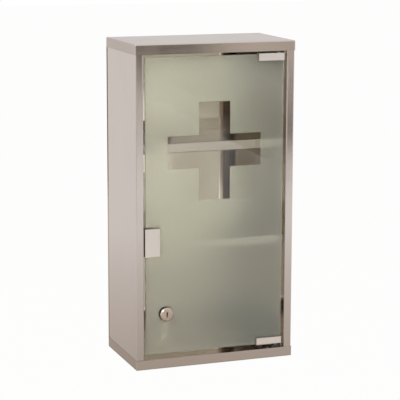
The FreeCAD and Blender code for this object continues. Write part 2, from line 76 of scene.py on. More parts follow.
class NodePad:
    """A node tree with short calls to add and join its nodes."""

    def __init__(self, tree: bpy.types.NodeTree) -> None:
        """Wraps a tree.

        Args:
            tree: The material's, world's or group's node tree.
        """
        self.tree = tree

    @classmethod
    def blank(cls, owner: bpy.types.ID) -> "NodePad":
        """Gives a material or world an empty node tree.

        Args:
            owner: The material or world.

        Returns:
            Its tree.
        """
        owner.use_nodes = True
        owner.node_tree.nodes.clear()
        return cls(owner.node_tree)

    def show(self, surface: Socket, kind: str = "ShaderNodeOutputMaterial") -> None:
        """Joins a shader to a new output node.

        Args:
            surface: The shader's socket.
            kind: The output node's type name.
        """
        self.add(kind, {"Surface": surface})

    def add(self, kind: str, inputs: Optional[dict] = None, **settings: object) -> bpy.types.Node:
        """Adds a node.

        Args:
            kind: The node's type name.
            inputs: Values or sockets for its input sockets, by name or number.
            **settings: Properties of the node.

        Returns:
            The new node.
        """
        node = self.tree.nodes.new(kind)
        for name, value in settings.items():
            setattr(node, name, value)
        for key, value in (inputs or {}).items():
            self.feed(node.inputs[key], value)
        return node

    def feed(self, socket: Socket, value: object) -> None:
        """Joins a socket to another, or sets its value.

        Args:
            socket: The input socket.
            value: An output socket to link from, or a plain value.
        """
        if isinstance(value, Socket):
            self.tree.links.new(value, socket)
        else:
            socket.default_value = value

    def math(self, operation: str, first: object, second: object = 0.0, third: object = 0.0,
             clamp: bool = False) -> Socket:
        """Adds a Math node.

        Args:
            operation: The operation's name.
            first: First value or socket.
            second: Second value or socket.
            third: Third value or socket.
            clamp: Whether the result is held between 0 and 1.

        Returns:
            The node's output socket.
        """
        values = {0: first, 1: second, 2: third}
        return self.add("ShaderNodeMath", values, operation=operation, use_clamp=clamp).outputs[0]

    def blended(self, first: object, second: object, share: float) -> Socket:
        """Adds two values with weights that make one.

        Args:
            first: First value's socket.
            second: Second value's socket.
            share: Weight of the first value.

        Returns:
            The sum's socket.
        """
        return self.math("ADD", self.math("MULTIPLY", first, share), self.math("MULTIPLY", second, 1.0 - share))

    def axes(self, vector: object) -> tuple[Socket, ...]:
        """Splits a vector.

        Args:
            vector: The vector's socket.

        Returns:
            The sockets of its X, Y and Z.
        """
        return tuple(self.add("ShaderNodeSeparateXYZ", {0: vector}).outputs)

    def dimmed(self, colour: object, share: object) -> Socket:
        """Multiplies a colour by one value.

        Args:
            colour: The colour's socket.
            share: The value or its socket.

        Returns:
            The product's socket.
        """
        return self.add("ShaderNodeVectorMath", {0: colour, "Scale": share}, operation="SCALE").outputs[0]

    def scaled(self, vector: object, factors: object) -> Socket:
        """Multiplies a vector by another, axis by axis.

        Args:
            vector: The vector or its socket.
            factors: The factors or their socket.

        Returns:
            The product's socket.
        """
        return self.add("ShaderNodeVectorMath", {0: vector, 1: factors}, operation="MULTIPLY").outputs[0]

    def mixed(self, share: object, first: object, second: object) -> Socket:
        """Mixes two colours.

        Args:
            share: How much of the second colour, as a value or socket.
            first: First colour or socket.
            second: Second colour or socket.

        Returns:
            The mixed colour's socket.
        """
        node = self.add("ShaderNodeMix", data_type="RGBA")
        self.feed(node.inputs["Factor"], share)
        self.feed(node.inputs[6], first)
        self.feed(node.inputs[7], second)
        return node.outputs[2]

    def ranged(self, value: object, low: float, high: float, out_low: object, out_high: object) -> Socket:
        """Maps a value from one range to another and holds it there.

        Args:
            value: The value's socket.
            low: Start of the range that is read.
            high: End of the range that is read.
            out_low: Result at the start.
            out_high: Result at the end.

        Returns:
            The result's socket.
        """
        node = self.add("ShaderNodeMapRange", {
            "Value": value, "From Min": low, "From Max": high, "To Min": out_low, "To Max": out_high})
        return node.outputs[0]

    def noise(self, vector: object, scale: float, detail: float, roughness: float = 0.5) -> Socket:
        """Adds a noise texture.

        Args:
            vector: The coordinates' socket.
            scale: The texture's scale.
            detail: Octaves of finer noise.
            roughness: Weight of the finer octaves.

        Returns:
            The noise value's socket.
        """
        node = self.add("ShaderNodeTexNoise", {
            "Vector": vector, "Scale": scale, "Detail": detail, "Roughness": roughness})
        return node.outputs[0]


class SurfacePad(NodePad):
    """A material's node tree with a Principled shader and the object's coordinates."""

    def __init__(self, tree: bpy.types.NodeTree) -> None:
        """Wraps a tree and adds the shader and the coordinates.

        Args:
            tree: The material's node tree.
        """
        super().__init__(tree)
        self.shader = self.add("ShaderNodeBsdfPrincipled")
        self.place = self.add("ShaderNodeTexCoord").outputs["Object"]

    def coat(self, name: str, value: object) -> None:
        """Feeds one input of the shader.

        Args:
            name: The input's name.
            value: A plain value or a socket.
        """
        self.feed(self.shader.inputs[name], value)

    def bump(self, height: Socket, strength: float, depth: float) -> None:
        """Feeds the shader's normal from a height.

        Args:
            height: The height's socket.
            strength: How strong the bumps are.
            depth: Their full depth in metres.
        """
        node = self.add("ShaderNodeBump", {"Strength": strength, "Distance": depth, "Height": height})
        self.coat("Normal", node.outputs[0])


class EffectGroup:
    """A shader node group that several finishes share, made once."""

    name: str = ""
    inputs: tuple[tuple[str, str, object], ...] = ()
    outputs: tuple[tuple[str, str], ...] = ()

    def tree(self) -> bpy.types.NodeTree:
        """Finds the group's tree, and makes it the first time.

        Returns:
            The tree.
        """
        found = bpy.data.node_groups.get(self.name)
        if found:
            return found
        tree = bpy.data.node_groups.new(self.name, "ShaderNodeTree")
        for label, kind, value in self.inputs:
            socket = tree.interface.new_socket(label, in_out="INPUT", socket_type=kind)
            if value is not None:
                socket.default_value = value
        for label, kind in self.outputs:
            tree.interface.new_socket(label, in_out="OUTPUT", socket_type=kind)
        pad = NodePad(tree)
        entry = pad.add("NodeGroupInput")
        leave = pad.add("NodeGroupOutput")
        self.fill(pad, entry, leave)
        return tree

    def fill(self, pad: NodePad, entry: bpy.types.Node, leave: bpy.types.Node) -> None:
        """Puts the group's nodes in.

        Args:
            pad: The group's tree.
            entry: The group's input node.
            leave: The group's output node.
        """
        raise NotImplementedError

    def place(self, pad: NodePad, values: dict) -> bpy.types.Node:
        """Places the group in a material.

        Args:
            pad: The material's tree.
            values: Values or sockets for the group's inputs, by name.

        Returns:
            The group node.
        """
        return pad.add("ShaderNodeGroup", values, node_tree=self.tree())


class BrushedGrain(EffectGroup):
    """Fine streaks of a brushed face: their tone, roughness and height.

    Attributes:
        coarse_scale: Scale of the coarse streaks, beside 1 for the fine ones.
        coarse_share: Weight of the coarse streaks.
    """

    name = "brushed_grain"
    inputs = (
        ("Streaks", "NodeSocketVector", None),
        ("Tone", "NodeSocketColor", (0.6, 0.6, 0.6, 1.0)),
        ("Contrast", "NodeSocketFloat", 0.1),
        ("Roughness", "NodeSocketFloat", 0.3),
        ("Spread", "NodeSocketFloat", 0.1),
    )
    outputs = (("Color", "NodeSocketColor"), ("Roughness", "NodeSocketFloat"), ("Height", "NodeSocketFloat"))
    coarse_scale: float = 0.25
    coarse_share: float = 0.6

    def fill(self, pad: NodePad, entry: bpy.types.Node, leave: bpy.types.Node) -> None:
        """Adds coarse and fine streaks and joins them to the outputs.

        Args:
            pad: The group's tree.
            entry: The group's input node.
            leave: The group's output node.
        """
        streaks = entry.outputs["Streaks"]
        coarse = pad.noise(streaks, self.coarse_scale, 3.0, 0.6)
        fine = pad.noise(streaks, 1.0, 2.0, 0.7)
        lines = pad.blended(coarse, fine, self.coarse_share)
        swing = pad.math("MULTIPLY", pad.math("SUBTRACT", lines, 0.5), 2.0)
        gain = pad.math("MULTIPLY_ADD", swing, entry.outputs["Contrast"], 1.0)
        rough = pad.math("MULTIPLY_ADD", swing, entry.outputs["Spread"], entry.outputs["Roughness"], clamp=True)
        pad.feed(leave.inputs["Color"], pad.dimmed(entry.outputs["Tone"], gain))
        pad.feed(leave.inputs["Roughness"], rough)
        pad.feed(leave.inputs["Height"], lines)


class HandlingMarks(EffectGroup):
    """Cloudy wiping and touch marks, as a mask from 0 to 1.

    Attributes:
        bare_level: The cloud value that marks start at when they cover nothing.
        cover_gain: How far full cover lowers that value.
        sharpness: How fast a mark's edge rises.
    """

    name = "handling_marks"
    inputs = (
        ("Place", "NodeSocketVector", None),
        ("Size", "NodeSocketFloat", 12.0),
        ("Cover", "NodeSocketFloat", 0.5),
    )
    outputs = (("Mask", "NodeSocketFloat"),)
    bare_level: float = 0.85
    cover_gain: float = 0.5
    sharpness: float = 3.5

    def fill(self, pad: NodePad, entry: bpy.types.Node, leave: bpy.types.Node) -> None:
        """Adds the clouds and their threshold.

        Args:
            pad: The group's tree.
            entry: The group's input node.
            leave: The group's output node.
        """
        clouds = pad.add("ShaderNodeTexNoise", {
            "Vector": entry.outputs["Place"], "Scale": entry.outputs["Size"], "Detail": 4.0, "Roughness": 0.62,
            "Distortion": 0.4})
        covered = pad.math("MULTIPLY", entry.outputs["Cover"], self.cover_gain)
        above = pad.math("SUBTRACT", clouds.outputs[0], pad.math("SUBTRACT", self.bare_level, covered))
        pad.feed(leave.inputs["Mask"], pad.math("MULTIPLY_ADD", above, self.sharpness, 0.5, clamp=True))

    def mask(self, pad: SurfacePad, size: float, cover: float) -> Socket:
        """Places the group and picks its mask.

        Args:
            pad: The material's tree.
            size: Scale of the clouds.
            cover: How much of the surface has marks, from 0 to 1.

        Returns:
            The mask's socket.
        """
        return self.place(pad, {"Place": pad.place, "Size": size, "Cover": cover}).outputs["Mask"]


@dataclass(frozen=True)
class Finish:
    """What all finishes share: a name, and a Principled shader to feed."""

    name: str

    def material(self) -> bpy.types.Material:
        """Finds the finish's material, and makes it the first time.

        Returns:
            The material.
        """
        found = bpy.data.materials.get(self.name)
        if found:
            return found
        made = bpy.data.materials.new(self.name)
        pad = SurfacePad.blank(made)
        pad.show(self.surface(pad))
        self.dress(pad)
        return made

    def surface(self, pad: SurfacePad) -> Socket:
        """Picks what the material shows.

        Args:
            pad: The material's tree.

        Returns:
            The Principled shader's socket, unless a finish says otherwise.
        """
        return pad.shader.outputs[0]

    def dress(self, pad: SurfacePad) -> None:
        """Feeds the shader.

        Args:
            pad: The material's tree.
        """
        raise NotImplementedError


@dataclass(frozen=True)
class BrushedSteel(Finish):
    """Brushed stainless sheet with streaks, wiping marks, inner faces that can be darker or lighter, and
    painted shade towards the inner faces' top and bottom ends.

    Attributes:
        tone: Colour of the metal.
        grain: Direction of the streaks.
        side_grain: Direction of the streaks on faces that look left or right, if it differs.
        side_normal: How far a face has to look left or right to count as one of those.
        edge_tone: Colour at a grazing angle.
        inner_share: Brightness of the faces that look into the cabinet, beside 1 for the outer ones.
        inner_span: From which to which distance off the middle the inner faces lie.
        inner_from_y: Where the inner faces start, behind the front.
        painted_end_shade_span: Between which heights off the middle the painted shade at the top and bottom
            ends of the inner faces sets in.
        painted_end_shade_share: Factor on the inner share at the ends, as painted shade there.
        roughness: Middle roughness.
        spread: Change of the roughness from streak to streak.
        contrast: Change of the tone from streak to streak.
        smudge_size: Scale of the wiping marks.
        smudge_cover: How much of the sheet has them.
        smudge_tone: Colour of the marks.
        smudge_share: How strong the marks' colour is.
        smudge_roughness: What the marks add to the roughness.
        depth: Depth of the streaks in metres.
    """

    tone: Colour = (0.59, 0.542, 0.51)
    grain: Grain = Grain.ALONG_Z
    side_grain: Optional[Grain] = None
    side_normal: float = 0.7
    edge_tone: Colour = (0.86, 0.83, 0.82)
    inner_share: float = 1.0
    inner_span: Pair = (0.0, 0.1535)
    inner_from_y: float = -0.172
    painted_end_shade_span: Pair = (0.228, 0.246)
    painted_end_shade_share: float = 1.0
    roughness: float = 0.13
    spread: float = 0.04
    contrast: float = 0.06
    smudge_size: float = 9.0
    smudge_cover: float = 0.45
    smudge_tone: Colour = (0.42, 0.40, 0.38)
    smudge_share: float = 0.10
    smudge_roughness: float = 0.06
    depth: float = 0.00003

    def dress(self, pad: SurfacePad) -> None:
        """Feeds tone, roughness and bump from the streaks.

        Args:
            pad: The material's tree.
        """
        brushed = BrushedGrain().place(pad, {
            "Streaks": self.streaks(pad), "Tone": opaque(self.tone), "Contrast": self.contrast,
            "Roughness": self.roughness, "Spread": self.spread})
        marks = HandlingMarks().mask(pad, self.smudge_size, self.smudge_cover)
        smudged = pad.math("MULTIPLY", marks, self.smudge_share)
        tone = pad.mixed(smudged, brushed.outputs["Color"], opaque(self.smudge_tone))
        if self.inner_share != 1.0:
            tone = self.shaded(pad, tone)
        pad.coat("Base Color", tone)
        rough = pad.math("MULTIPLY_ADD", marks, self.smudge_roughness, brushed.outputs["Roughness"])
        pad.coat("Roughness", rough)
        pad.coat("Metallic", 1.0)
        pad.coat("Specular Tint", opaque(self.edge_tone))
        pad.bump(pad.math("MULTIPLY", brushed.outputs["Height"], self.depth), 1.0, 1.0)

    def streaks(self, pad: SurfacePad) -> Socket:
        """Makes the coordinates that the streaks are drawn in.

        Args:
            pad: The material's tree.

        Returns:
            The coordinates, stretched along the grain.
        """
        streaks = pad.scaled(pad.place, self.grain.value)
        if not self.side_grain:
            return streaks
        normal = pad.axes(pad.add("ShaderNodeNewGeometry").outputs["True Normal"])
        on_side = pad.math("GREATER_THAN", pad.math("ABSOLUTE", normal[0]), self.side_normal)
        return pad.mixed(on_side, streaks, pad.scaled(pad.place, self.side_grain.value))

    def shaded(self, pad: SurfacePad, tone: Socket) -> Socket:
        """Changes the tone on the faces that look into the cabinet, which the finishes set darker or lighter,
        and darkens them towards their top and bottom ends as painted shade.

        Args:
            pad: The material's tree.
            tone: The tone of the outer faces.

        Returns:
            The tone with the inner faces in it.
        """
        across, behind, along = pad.axes(pad.place)
        # Painted shade: the inner faces darken towards their top and bottom ends.
        share = pad.ranged(pad.math("ABSOLUTE", along), *self.painted_end_shade_span, self.inner_share,
                           self.inner_share * self.painted_end_shade_share)
        off_middle = pad.math("ABSOLUTE", across)
        within = pad.math("MULTIPLY", pad.math("GREATER_THAN", off_middle, self.inner_span[0]),
                          pad.math("LESS_THAN", off_middle, self.inner_span[1]))
        inside = pad.math("MULTIPLY", within, pad.math("GREATER_THAN", behind, self.inner_from_y))
        return pad.mixed(inside, tone, pad.dimmed(tone, share))


@dataclass(frozen=True)
class MirrorSteel(Finish):
    """Stainless sheet polished like a mirror, a little wavy, with faint wiping lines. Depths are in metres."""

    tone: Colour = (0.80, 0.735, 0.64)
    roughness: float = 0.05
    spread: float = 0.02
    contrast: float = 0.03
    wipe_size: float = 7.0
    wipe_cover: float = 0.4
    wipe_roughness: float = 0.03
    wave_scale: float = 6.0
    wave_strength: float = 0.05
    wave_depth: float = 0.002

    def dress(self, pad: SurfacePad) -> None:
        """Feeds a nearly even tone, a low roughness and a slow wave.

        Args:
            pad: The material's tree.
        """
        lines = BrushedGrain().place(pad, {
            "Streaks": pad.scaled(pad.place, Grain.ALONG_Z.value), "Tone": opaque(self.tone),
            "Contrast": self.contrast, "Roughness": self.roughness, "Spread": self.spread})
        marks = HandlingMarks().mask(pad, self.wipe_size, self.wipe_cover)
        rough = pad.math("MULTIPLY_ADD", marks, self.wipe_roughness, lines.outputs["Roughness"])
        pad.coat("Base Color", lines.outputs["Color"])
        pad.coat("Roughness", rough)
        pad.coat("Metallic", 1.0)
        wave = pad.noise(pad.place, self.wave_scale, 1.0)
        pad.bump(wave, self.wave_strength, self.wave_depth)


@dataclass(frozen=True)
class EtchedGlass(Finish):
    """Greenish glass with a polished front and an etched back, and a cross left clear in the etching.

    Attributes:
        clear_tint: Colour of the clear glass.
        etched_tint: Colour of the etched glass.
        etched_from_y: Where the back of the pane starts.
        etched_roughness: Roughness of the etching.
        cloud_scale: Scale of the unevenness in it.
        cloud_range: Lowest and highest factor of that unevenness.
        grit_scale: Scale of its grit.
        grit_depth: Depth of its grit in metres.
        ior: Index of refraction.
        cross_centre_z: Height of the cross's middle.
        cross_span: Width and height of the cross.
        cross_arm: Width of its arms.
    """

    clear_tint: Colour = (0.95, 0.955, 0.92)
    etched_tint: Colour = (0.985, 1.0, 0.93)
    etched_from_y: float = -0.1655
    etched_roughness: float = 0.20
    cloud_scale: float = 8.0
    cloud_range: Pair = (0.94, 1.04)
    grit_scale: float = 2500.0
    grit_depth: float = 0.00034
    ior: float = 1.5
    cross_centre_z: float = 0.1015
    cross_span: float = 0.181
    cross_arm: float = 0.060

    def surface(self, pad: SurfacePad) -> Socket:
        """Lets the lamps' light through to what is behind the pane.

        Args:
            pad: The material's tree.

        Returns:
            The shader's socket, with clear glass in its place for rays from lamps.
        """
        clear = pad.add("ShaderNodeBsdfTransparent", {"Color": opaque(self.clear_tint)}).outputs[0]
        lamp_ray = pad.add("ShaderNodeLightPath").outputs["Is Shadow Ray"]
        return pad.add("ShaderNodeMixShader", {0: lamp_ray, 1: pad.shader.outputs[0], 2: clear}).outputs[0]

    def etching(self, pad: SurfacePad) -> Socket:
        """Makes the mask of the etching.

        Args:
            pad: The material's tree.

        Returns:
            1 on the back of the pane except in the cross, and 0 elsewhere.
        """
        across, behind, along = pad.axes(pad.place)
        level_off = pad.math("ABSOLUTE", across)
        upright_off = pad.math("ABSOLUTE", pad.math("SUBTRACT", along, self.cross_centre_z))
        arm, reach = self.cross_arm / 2, self.cross_span / 2
        upright = pad.math("MULTIPLY", pad.math("LESS_THAN", level_off, arm),
                           pad.math("LESS_THAN", upright_off, reach))
        level = pad.math("MULTIPLY", pad.math("LESS_THAN", level_off, reach),
                         pad.math("LESS_THAN", upright_off, arm))
        beside = pad.math("SUBTRACT", 1.0, pad.math("MAXIMUM", upright, level))
        return pad.math("MULTIPLY", pad.math("GREATER_THAN", behind, self.etched_from_y), beside)

    def dress(self, pad: SurfacePad) -> None:
        """Feeds the roughness of the etching and a slight unevenness in it.

        Args:
            pad: The material's tree.
        """
        etched = self.etching(pad)
        cloud = pad.ranged(pad.noise(pad.place, self.cloud_scale, 4.0, 0.6), *NOISE_SPAN, *self.cloud_range)
        rough = pad.math("MULTIPLY", pad.math("MULTIPLY", etched, self.etched_roughness), cloud)
        pad.coat("Roughness", rough)
        tint = pad.mixed(etched, opaque(self.clear_tint), opaque(self.etched_tint))
        pad.coat("Base Color", tint)
        pad.coat("Transmission Weight", 1.0)
        pad.coat("IOR", self.ior)
        grit = pad.math("MULTIPLY", pad.noise(pad.place, self.grit_scale, 1.0), etched)
        pad.bump(grit, 1.0, self.grit_depth)


@dataclass(frozen=True)
class FrostFilm(Finish):
    """The milky skin that etching leaves on the glass: a thin pale veil with a fine grit.

    Attributes:
        tone: Colour of the veil.
        veil: How much of what is behind it the veil covers.
        veil_range: Lowest and highest factor on that cover.
        cloud_scale: Scale of the slow changes in the veil.
        cloud_share: Weight of those beside the grit.
        grit_scale: Scale of the grit.
        grit_strength: How strong the grit is.
        grit_depth: Its depth in metres.
        roughness: Roughness of the skin.
        scatter: How far light spreads in the skin in metres.
    """

    tone: Colour = (0.83, 0.95, 0.86)
    veil: float = 0.182
    veil_range: Pair = (0.93, 1.07)
    cloud_scale: float = 9.0
    cloud_share: float = 0.6
    grit_scale: float = 1800.0
    grit_strength: float = 0.1
    grit_depth: float = 0.0001
    roughness: float = 0.9
    scatter: float = 0.0002

    def dress(self, pad: SurfacePad) -> None:
        """Feeds a slightly cloudy veil and its tone.

        Args:
            pad: The material's tree.
        """
        cloud = pad.noise(pad.place, self.cloud_scale, 4.0, 0.6)
        grit = pad.noise(pad.place, self.grit_scale, 2.0, 0.7)
        mottle = pad.blended(cloud, grit, self.cloud_share)
        low, high = (self.veil * factor for factor in self.veil_range)
        pad.coat("Alpha", pad.ranged(mottle, *NOISE_SPAN, low, high))
        pad.coat("Base Color", opaque(self.tone))
        pad.coat("Roughness", self.roughness)
        pad.coat("Subsurface Weight", 1.0)
        pad.coat("Subsurface Radius", (1.0, 1.0, 1.0))
        pad.coat("Subsurface Scale", self.scatter)
        pad.bump(grit, self.grit_strength, self.grit_depth)


@dataclass(frozen=True)
class Moulded(Finish):
    """Plastic, rubber, ferrite or other dull stock with a fine skin and a little dust. Depths are in metres."""

    tone: Colour = (0.02, 0.02, 0.02)
    roughness: float = 0.5
    gloss_range: Pair = (-0.06, 0.08)
    skin: float = 900.0
    skin_strength: float = 0.15
    skin_depth: float = 0.0002
    dust: Colour = (0.20, 0.19, 0.18)
    dust_size: float = 60.0
    dust_cover: float = 0.4
    dust_share: float = 0.12

    def dress(self, pad: SurfacePad) -> None:
        """Feeds a speckled tone, dust and a fine skin.

        Args:
            pad: The material's tree.
        """
        speckle = pad.noise(pad.place, self.skin, 3.0, 0.6)
        marks = HandlingMarks().mask(pad, self.dust_size, self.dust_cover)
        dusty = pad.mixed(pad.math("MULTIPLY", marks, self.dust_share), opaque(self.tone), opaque(self.dust))
        pad.coat("Base Color", dusty)
        low, high = (self.roughness + change for change in self.gloss_range)
        pad.coat("Roughness", pad.ranged(speckle, *NOISE_SPAN, low, high))
        pad.bump(speckle, self.skin_strength, self.skin_depth)


@dataclass(frozen=True)
class Plated(Finish):
    """Plated or polished metal with tiny pits and faint stains. Depths are in metres."""

    tone: Colour = (0.60, 0.60, 0.60)
    roughness: float = 0.2
    gloss_range: Pair = (0.75, 1.3)
    pits: float = 500.0
    pit_strength: float = 0.05
    pit_depth: float = 0.0001
    stain: Colour = (0.35, 0.34, 0.32)
    stain_share: float = 0.2
    stain_size: float = 90.0
    stain_cover: float = 0.5

    def dress(self, pad: SurfacePad) -> None:
        """Feeds a tone with faint stains and an uneven gloss.

        Args:
            pad: The material's tree.
        """
        pitted = pad.noise(pad.place, self.pits, 4.0, 0.65)
        marks = HandlingMarks().mask(pad, self.stain_size, self.stain_cover)
        tone = pad.mixed(pad.math("MULTIPLY", marks, self.stain_share), opaque(self.tone), opaque(self.stain))
        pad.coat("Base Color", tone)
        low, high = (self.roughness * factor for factor in self.gloss_range)
        pad.coat("Roughness", pad.ranged(pitted, *NOISE_SPAN, low, high))
        pad.coat("Metallic", 1.0)
        pad.bump(pitted, self.pit_strength, self.pit_depth)


STILE_STEEL = BrushedSteel("sheet_steel_stile", inner_share=0.8, inner_span=(0.1395, 0.1535),
                           inner_from_y=-0.1738, roughness=0.08)
# The panels' inner faces darken to 0.12 of their inner tone at the top and bottom ends, as painted shade.
PANEL_STEEL = BrushedSteel("sheet_steel_panel", inner_share=0.65, painted_end_shade_share=0.12)
CAP_STEEL = BrushedSteel("sheet_steel_level", tone=(0.56, 0.51, 0.465), edge_tone=(0.69, 0.645, 0.635),
                         grain=Grain.ALONG_X, side_grain=Grain.ALONG_Z)
# The bottom cap's inner faces are painted 1.6 times lighter than its outer ones: painted light on the cabinet's
# floor.
BASE_STEEL_PAINTED_LIGHT = replace(CAP_STEEL, name="sheet_steel_base_painted_light", inner_share=1.6)
SHELF_STEEL = BrushedSteel("shelf_steel", tone=(0.62, 0.57, 0.51), edge_tone=(0.98, 0.95, 0.90),
                           grain=Grain.ALONG_X, roughness=0.16, depth=0.00001)
BACK_STEEL = MirrorSteel("back_mirror_steel")
DOOR_GLASS = EtchedGlass("etched_glass")
FROST_FILM = FrostFilm("frost_film")
CLIP_STEEL = BrushedSteel("clip_satin_steel", tone=(0.86, 0.815, 0.775), grain=Grain.ALONG_X, roughness=0.30)
ZINC = Plated("zinc_plate", tone=(0.55, 0.55, 0.54), roughness=0.32)
NICKEL = Plated("worn_nickel", tone=(0.62, 0.53, 0.455), roughness=0.14, stain=(0.36, 0.28, 0.21),
                stain_share=0.45)
CAM_STEEL = Plated("cam_steel", tone=(0.95, 0.87, 0.76), roughness=0.75)
# The lock's brass wafers are painted nearly black, as painted shade deep in the keyway.
KEYWAY_SHADE_BRASS = Plated("brass_painted_keyway_shade", tone=(0.020, 0.015, 0.009), roughness=0.5, stain=(0.01, 0.008, 0.006))
NYLON = Moulded("black_nylon", tone=(0.015, 0.015, 0.016), roughness=0.42)
RUBBER = Moulded("grey_rubber", tone=(0.14, 0.145, 0.12), roughness=0.7)
LINER = Moulded("pale_liner", tone=(0.40, 0.42, 0.38), roughness=0.55)
FERRITE = Moulded("dark_ferrite", tone=(0.06, 0.06, 0.06), roughness=0.6)


@dataclass
class SubAssembly:
    """CAD nodes that belong together, and the finish of each."""

    title: str
    finishes: dict[str, Finish] = field(default_factory=dict)

    def build(self) -> None:
        """Dresses every node and reports it."""
        for node, finish in self.finishes.items():
            self.dress(node, finish)

    def dress(self, node: str, finish: Finish) -> None:
        """Gives one CAD node its finish.

        Args:
            node: The node's name.
            finish: The finish that it gets.
        """
        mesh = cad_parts[node].data
        mesh.materials.clear()
        mesh.materials.append(finish.material())
        log.info("%s: %s in %s", self.title, node, finish.name)


@dataclass
class Casing(SubAssembly):
    """The folded sheets: side panels, front stiles, caps and polished back."""

    title: str = "casing"
    finishes: dict[str, Finish] = field(default_factory=lambda: {
        "left_side_panel": PANEL_STEEL, "right_side_panel": PANEL_STEEL,
        "left_front_stile": STILE_STEEL, "right_front_stile": STILE_STEEL, "back_panel": BACK_STEEL,
        "top_cap": CAP_STEEL, "bottom_cap": BASE_STEEL_PAINTED_LIGHT,
    })


@dataclass
class Shelving(SubAssembly):
    """The two shelves and the rails under them."""

    title: str = "shelving"
    finishes: dict[str, Finish] = field(default_factory=lambda: {
        "upper_shelf": SHELF_STEEL, "lower_shelf": SHELF_STEEL,
        "upper_shelf_rails": SHELF_STEEL, "lower_shelf_rails": SHELF_STEEL,
    })


@dataclass
class Pivots(SubAssembly):
    """What the door turns in: brackets and bushes on the case, clips and pins on the glass."""

    title: str = "pivots"
    finishes: dict[str, Finish] = field(default_factory=lambda: {
        "upper_pivot_bracket": ZINC, "lower_pivot_bracket": ZINC,
        "upper_pivot_bush": NYLON, "lower_pivot_bush": NYLON,
        "upper_hinge_clip": CLIP_STEEL, "lower_hinge_clip": CLIP_STEEL,
        "upper_hinge_liner": LINER, "lower_hinge_liner": LINER,
        "upper_hinge_pin": ZINC, "lower_hinge_pin": ZINC, "hinge_grub_screws": ZINC,
    })


@dataclass
class Catch(SubAssembly):
    """The magnetic catch and the pull clip that it holds."""

    title: str = "catch"
    finishes: dict[str, Finish] = field(default_factory=lambda: {
        "catch_bracket": ZINC, "catch_housing": NYLON, "catch_magnet": FERRITE,
        "catch_pole_plates": ZINC, "catch_screws": ZINC,
        "pull_clip": CLIP_STEEL, "pull_clip_liner": LINER, "pull_clip_grub_screws": ZINC,
    })


class Bench:
    """Short calls for modelling with operators."""

    peg_sides = 96

    @staticmethod
    def block(name: str, low: Triple, high: Triple) -> bpy.types.Object:
        """Adds a box between two corners, with its place in its mesh.

        Args:
            name: The object's name.
            low: Its lowest corner.
            high: Its highest corner.

        Returns:
            The new object.
        """
        bpy.ops.object.select_all(action="DESELECT")
        centre = [(a + b) / 2 for a, b in zip(low, high)]
        bpy.ops.mesh.primitive_cube_add(size=1.0, location=centre)
        made = bpy.context.object
        made.name = name
        made.scale = [b - a for a, b in zip(low, high)]
        bpy.ops.object.transform_apply(location=True, rotation=True, scale=True)
        return made

    @staticmethod
    def peg(name: str, centre: Triple, radius: float, length: float) -> bpy.types.Object:
        """Adds a round peg along Y, with its place in its mesh.

        Args:
            name: The object's name.
            centre: Its middle.
            radius: Its radius.
            length: Its length.

        Returns:
            The new object.
        """
        bpy.ops.object.select_all(action="DESELECT")
        bpy.ops.mesh.primitive_cylinder_add(
            vertices=Bench.peg_sides, radius=radius, depth=length, location=centre,
            rotation=(math.pi / 2, 0.0, 0.0))
        made = bpy.context.object
        made.name = name
        bpy.ops.object.transform_apply(location=True, rotation=True, scale=True)
        return made

    @staticmethod
    def cut(piece: bpy.types.Object, cutter: bpy.types.Object) -> None:
        """Cuts one object out of another and removes the cutter.

        Args:
            piece: The object that is cut.
            cutter: The object that is taken away.
        """
        modifier = piece.modifiers.new("cut", "BOOLEAN")
        modifier.operation = "DIFFERENCE"
        modifier.solver = "EXACT"
        modifier.object = cutter
        bpy.ops.object.select_all(action="DESELECT")
        piece.select_set(True)
        bpy.context.view_layer.objects.active = piece
        bpy.ops.object.modifier_apply(modifier=modifier.name)
        bpy.data.objects.remove(cutter, do_unlink=True)


